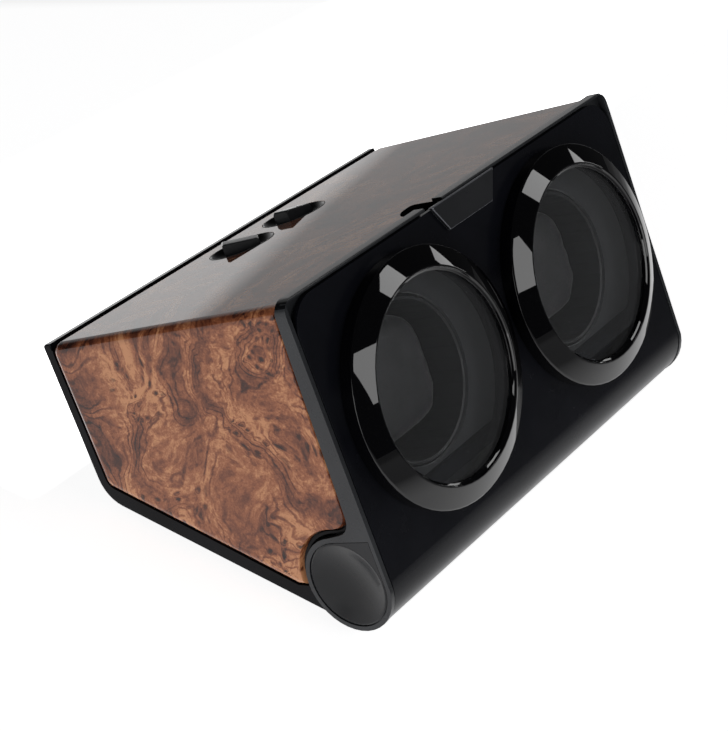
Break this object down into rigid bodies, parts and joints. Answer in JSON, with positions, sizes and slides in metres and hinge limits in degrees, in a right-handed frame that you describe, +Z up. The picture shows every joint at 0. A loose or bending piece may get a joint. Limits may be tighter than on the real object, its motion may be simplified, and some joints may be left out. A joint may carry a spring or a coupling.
{
  "type": "watch winder box",
  "caption": "Countertop box that slowly turns wristwatches on cushioned rotors behind round windows in a drop-front lid, with a lacquered burl cover and selector knobs.",
  "frame": {"origin": "middle of the overall box's underside, on the surface the feet stand on", "axes": "+X along the width to the box's left as seen from behind (the user's right), +Y from the lid towards the back, +Z up"},
  "size_m": [0.235, 0.1784, 0.1344],
  "materials": {
    "satin_black": "satin black",
    "shell_black": "fine-textured black",
    "frame_grey": "satin dark grey",
    "burl": "burl veneer under clear gloss lacquer",
    "gloss_black": "piano black",
    "pane": "clear polished",
    "badge": "satin black",
    "cap_black": "semi-gloss black",
    "lining": "flocked black",
    "cup_black": "satin black",
    "cushion_leather": "soft black leatherette",
    "steel": "bright",
    "brass": "turned",
    "acetal": "natural white",
    "pinion_acetal": "natural white",
    "plated_steel": "zinc plated",
    "motor_can": "plated can",
    "board_green": "solder mask",
    "switch_blue": "moulded",
    "dish_black": "gloss black",
    "knob_black": "gloss black",
    "socket_black": "moulded",
    "magnet": "nickel plated",
    "rubber": "matte black",
    "screw_zinc": "zinc plated"
  },
  "bodies": {
    "case": {"base_shell": "shell_black", "burl_cover": "burl", "front_frame": "frame_grey", "inner_panel": "lining", "catch_magnet": "magnet", "gear_plate": "plated_steel", "control_board": "board_green", "power_socket": "socket_black", "end_cap_left": "cap_black", "end_cap_right": "cap_black", "bearing_left": "brass", "bearing_right": "brass", "motor_bracket_left": "plated_steel", "motor_bracket_right": "plated_steel", "motor_left": "motor_can", "motor_right": "motor_can", "knob_dish_left": "dish_black", "knob_dish_right": "dish_black", "selector_switch_left": "switch_blue", "selector_switch_right": "switch_blue", "plate_screw_1": "screw_zinc", "plate_screw_2": "screw_zinc", "plate_screw_3": "screw_zinc", "plate_screw_4": "screw_zinc", "foot_1": "rubber", "foot_2": "rubber", "foot_3": "rubber", "foot_4": "rubber"},
    "lid": {"lid_panel": "satin_black", "badge_plate": "badge", "catch_plate": "steel", "window_ring_left": "gloss_black", "window_ring_right": "gloss_black", "window_pane_left": "pane", "window_pane_right": "pane"},
    "rotor_left": {"rotor_cup_left": "cup_black", "cushion_left": "cushion_leather", "rotor_shaft_left": "steel", "drive_gear_left": "acetal"},
    "pinion_left": {"motor_pinion_left": "pinion_acetal"},
    "knob_left": {"knob_left": "knob_black"},
    "rotor_right": {"rotor_cup_right": "cup_black", "cushion_right": "cushion_leather", "rotor_shaft_right": "steel", "drive_gear_right": "acetal"},
    "pinion_right": {"motor_pinion_right": "pinion_acetal"},
    "knob_right": {"knob_right": "knob_black"}
  },
  "joints": [
    {"name": "lid_hinge", "type": "hinge", "parent": "case", "child": "lid", "pos_m": [0, -0.06834, 0.02285], "axis": [1, 0, 0], "range_deg": [0, 90]},
    {"name": "rotor_left_turn", "type": "hinge", "parent": "case", "child": "rotor_left", "pos_m": [-0.0561, -0.05924, 0.08257], "axis": [0, -0.8829, 0.4695], "continuous": true},
    {"name": "pinion_left_turn", "type": "hinge", "parent": "case", "child": "pinion_left", "pos_m": [-0.0261, -0.05924, 0.08257], "axis": [0, -0.8829, 0.4695], "continuous": true},
    {"name": "rotor_right_turn", "type": "hinge", "parent": "case", "child": "rotor_right", "pos_m": [0.0561, -0.05924, 0.08257], "axis": [0, -0.8829, 0.4695], "continuous": true},
    {"name": "pinion_right_turn", "type": "hinge", "parent": "case", "child": "pinion_right", "pos_m": [0.0261, -0.05924, 0.08257], "axis": [0, -0.8829, 0.4695], "continuous": true},
    {"name": "knob_left_turn", "type": "hinge", "parent": "case", "child": "knob_left", "pos_m": [-0.02, 0.06167, 0.07991], "axis": [0, 0.495, 0.8689], "range_deg": [-90, 90]},
    {"name": "knob_right_turn", "type": "hinge", "parent": "case", "child": "knob_right", "pos_m": [0.017, 0.06167, 0.07991], "axis": [0, 0.495, 0.8689], "range_deg": [-90, 90]}
  ],
  "couplings": [
    {"joint": "pinion_left_turn", "follows": "rotor_left_turn", "ratio": -4},
    {"joint": "pinion_right_turn", "follows": "rotor_right_turn", "ratio": -4}
  ]
}
